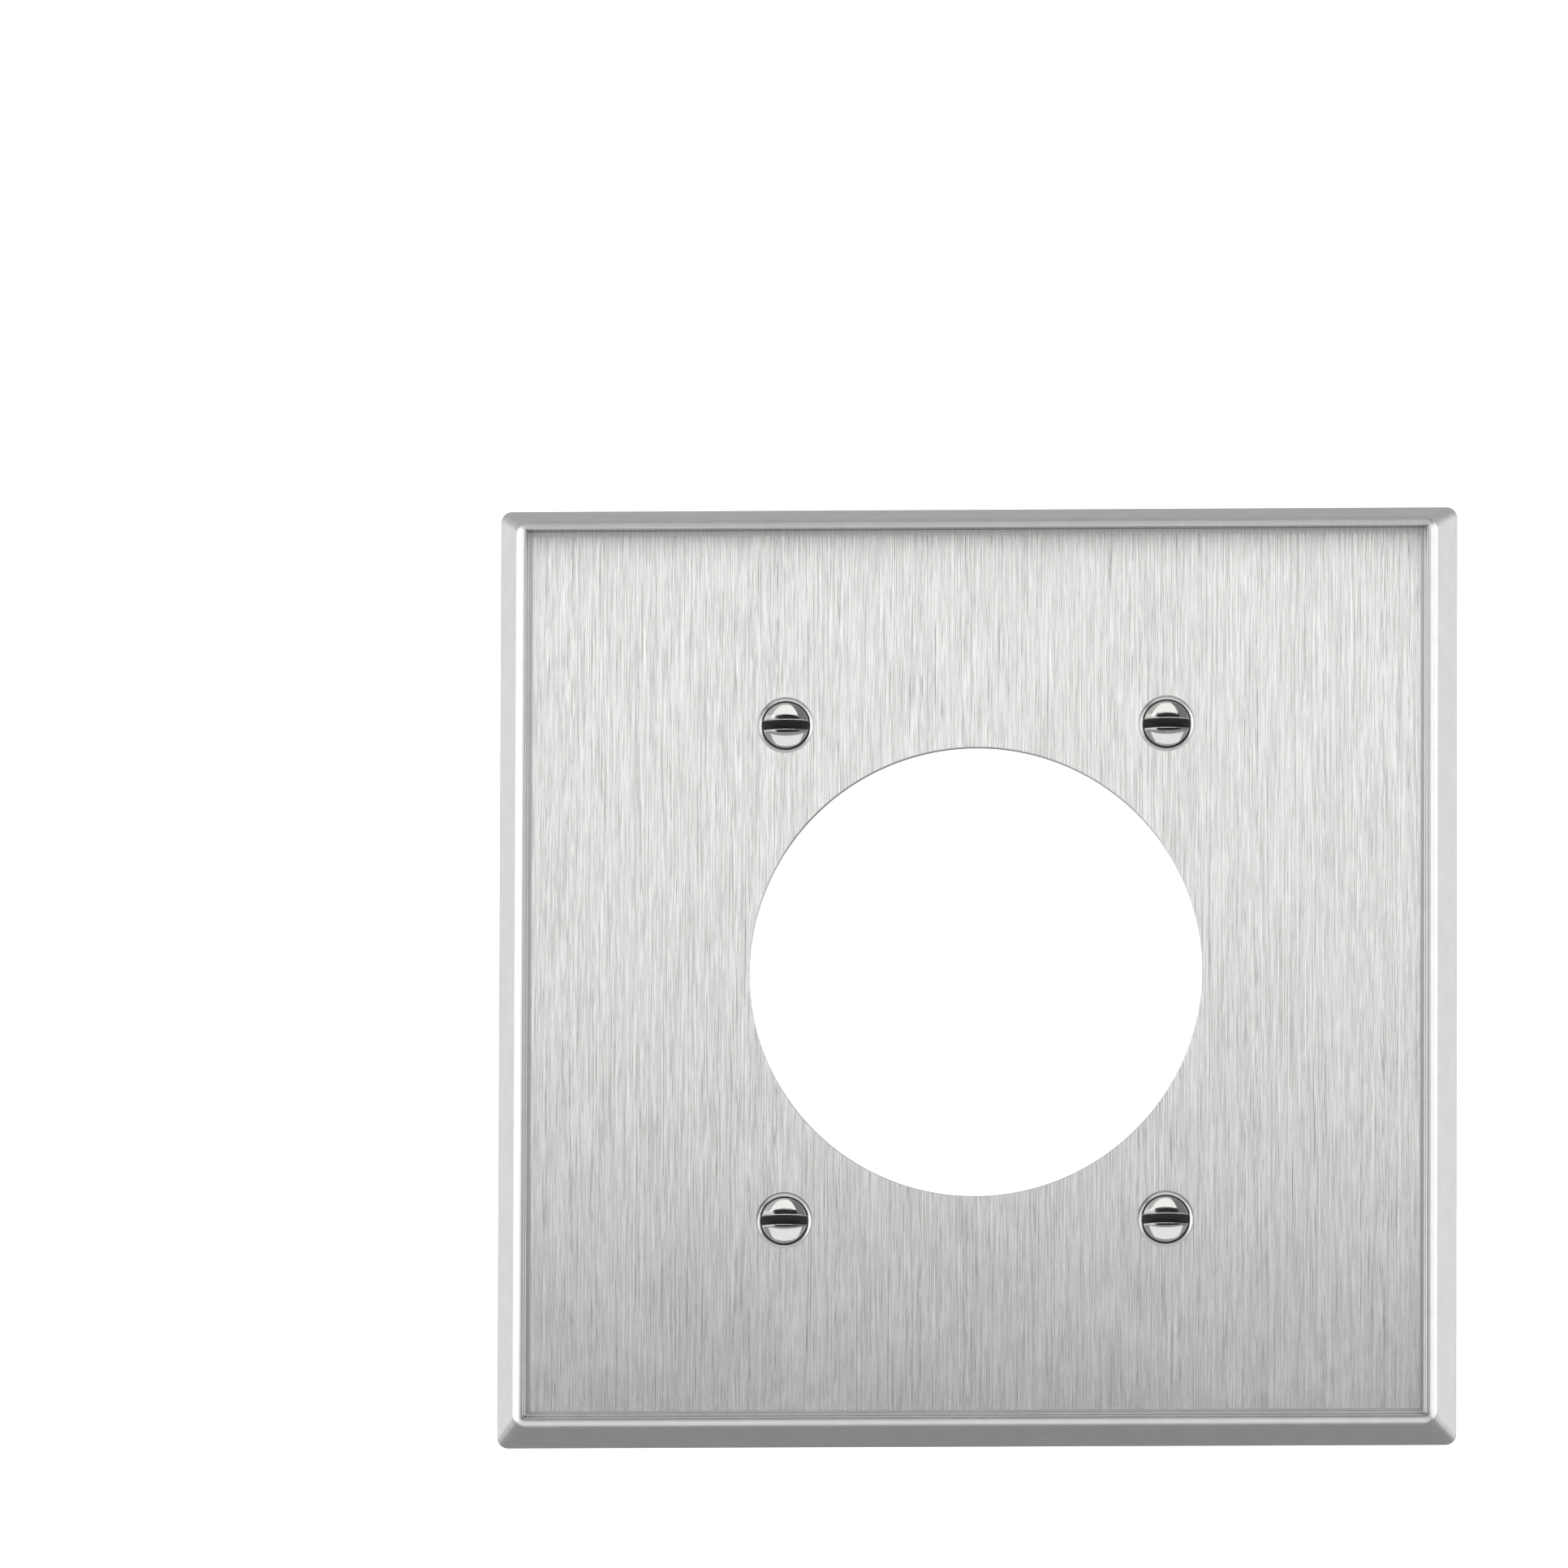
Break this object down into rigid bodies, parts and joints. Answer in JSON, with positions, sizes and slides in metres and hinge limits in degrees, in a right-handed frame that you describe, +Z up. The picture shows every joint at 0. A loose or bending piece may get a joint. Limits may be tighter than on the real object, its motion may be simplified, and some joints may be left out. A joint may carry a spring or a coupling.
{
  "type": "wall plate cover",
  "caption": "Brushed stainless steel two-gang wall plate with a bevelled raised rim, a large round receptacle opening and slotted oval-head screws in dimples.",
  "frame": {"origin": "centre of the round opening on the wall plane, the plane of the rim's cut edge", "axes": "+Y into the wall, so the face looks along -Y; +Z up; +X to the right of someone facing the plate"},
  "size_m": [0.1158, 0.0137, 0.1142],
  "materials": {
    "stainless_steel": "vertical brushed grain on the face, smooth satin on the rim, dull mill finish behind",
    "polished_nickel": "polished nickel plate",
    "natural_nylon": "satin, slightly translucent natural nylon"
  },
  "bodies": {
    "wall_plate": {"wall_plate": "stainless_steel"},
    "washer_upper_left": {"retaining_washer_upper_left": "natural_nylon"},
    "screw_upper_left": {"screw_upper_left": "polished_nickel"},
    "washer_upper_right": {"retaining_washer_upper_right": "natural_nylon"},
    "screw_upper_right": {"screw_upper_right": "polished_nickel"},
    "washer_lower_left": {"retaining_washer_lower_left": "natural_nylon"},
    "screw_lower_left": {"screw_lower_left": "polished_nickel"},
    "washer_lower_right": {"retaining_washer_lower_right": "natural_nylon"},
    "screw_lower_right": {"screw_lower_right": "polished_nickel"}
  },
  "joints": [
    {"name": "back_out_upper_left", "type": "slide", "parent": "wall_plate", "child": "washer_upper_left", "axis": [0, -1, 0], "range_m": [0, 0.00139]},
    {"name": "turn_upper_left", "type": "hinge", "parent": "washer_upper_left", "child": "screw_upper_left", "pos_m": [-0.02302, -0.00495, 0.03016], "axis": [0, -1, 0], "range_deg": [0, 630]},
    {"name": "back_out_upper_right", "type": "slide", "parent": "wall_plate", "child": "washer_upper_right", "axis": [0, -1, 0], "range_m": [0, 0.00139]},
    {"name": "turn_upper_right", "type": "hinge", "parent": "washer_upper_right", "child": "screw_upper_right", "pos_m": [0.02302, -0.00495, 0.03016], "axis": [0, -1, 0], "range_deg": [0, 630]},
    {"name": "back_out_lower_left", "type": "slide", "parent": "wall_plate", "child": "washer_lower_left", "axis": [0, -1, 0], "range_m": [0, 0.00139]},
    {"name": "turn_lower_left", "type": "hinge", "parent": "washer_lower_left", "child": "screw_lower_left", "pos_m": [-0.02302, -0.00495, -0.03016], "axis": [0, -1, 0], "range_deg": [0, 630]},
    {"name": "back_out_lower_right", "type": "slide", "parent": "wall_plate", "child": "washer_lower_right", "axis": [0, -1, 0], "range_m": [0, 0.00139]},
    {"name": "turn_lower_right", "type": "hinge", "parent": "washer_lower_right", "child": "screw_lower_right", "pos_m": [0.02302, -0.00495, -0.03016], "axis": [0, -1, 0], "range_deg": [0, 630]}
  ],
  "couplings": [
    {"joint": "back_out_upper_left", "follows": "turn_upper_left", "m_per_rad": 0.00012633},
    {"joint": "back_out_upper_right", "follows": "turn_upper_right", "m_per_rad": 0.00012633},
    {"joint": "back_out_lower_left", "follows": "turn_lower_left", "m_per_rad": 0.00012633},
    {"joint": "back_out_lower_right", "follows": "turn_lower_right", "m_per_rad": 0.00012633}
  ]
}
